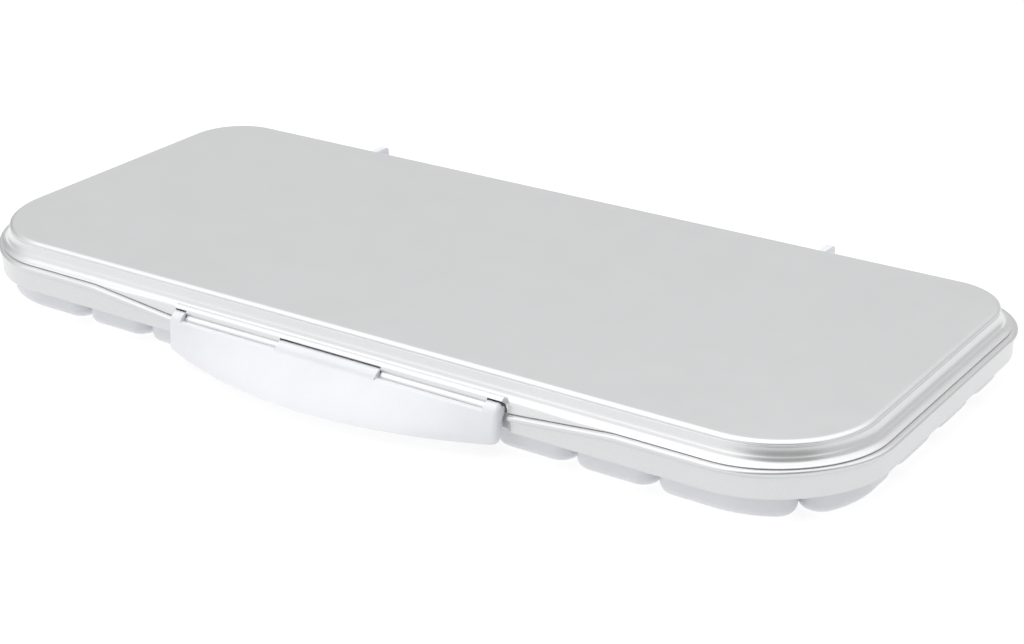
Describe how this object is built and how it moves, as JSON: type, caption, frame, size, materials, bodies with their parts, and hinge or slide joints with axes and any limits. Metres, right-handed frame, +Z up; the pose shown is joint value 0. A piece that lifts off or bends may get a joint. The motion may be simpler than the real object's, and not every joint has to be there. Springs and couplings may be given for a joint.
{
  "type": "hinged paint palette case",
  "caption": "Shallow rounded case with a hinged lid, a wide front latch flap, a ring of small wells round two mixing basins and a mixing surface in the lid.",
  "frame": {"origin": "on the table, under the middle of the closed case's box, latch and hinge ears included", "axes": "+X along the case's length, +Y from the latch to the hinges, +Z up"},
  "size_m": [0.3402, 0.1774, 0.024],
  "materials": {
    "silver": "satin silver",
    "white": "satin",
    "seal": "matte",
    "steel": "polished"
  },
  "bodies": {
    "base": {"base_frame": "silver", "well_tray": "white", "base_hinge_bracket_left": "white", "base_hinge_bracket_right": "white", "hinge_pin_left": "steel", "hinge_pin_right": "steel"},
    "lid": {"lid_shell": "silver", "lid_liner": "white", "lid_seal": "seal", "latch_rod": "steel", "lid_hinge_arm_left": "white", "lid_hinge_arm_right": "white"},
    "latch": {"latch_flap": "white"}
  },
  "joints": [
    {"name": "lid_hinge", "type": "hinge", "parent": "base", "child": "lid", "pos_m": [0, 0.08355, 0.012], "axis": [-1, 0, 0], "range_deg": [0, 180]},
    {"name": "latch_hinge", "type": "hinge", "parent": "lid", "child": "latch", "pos_m": [0, -0.07065, 0.0147], "axis": [-1, 0, 0], "range_deg": [0, 60]}
  ]
}
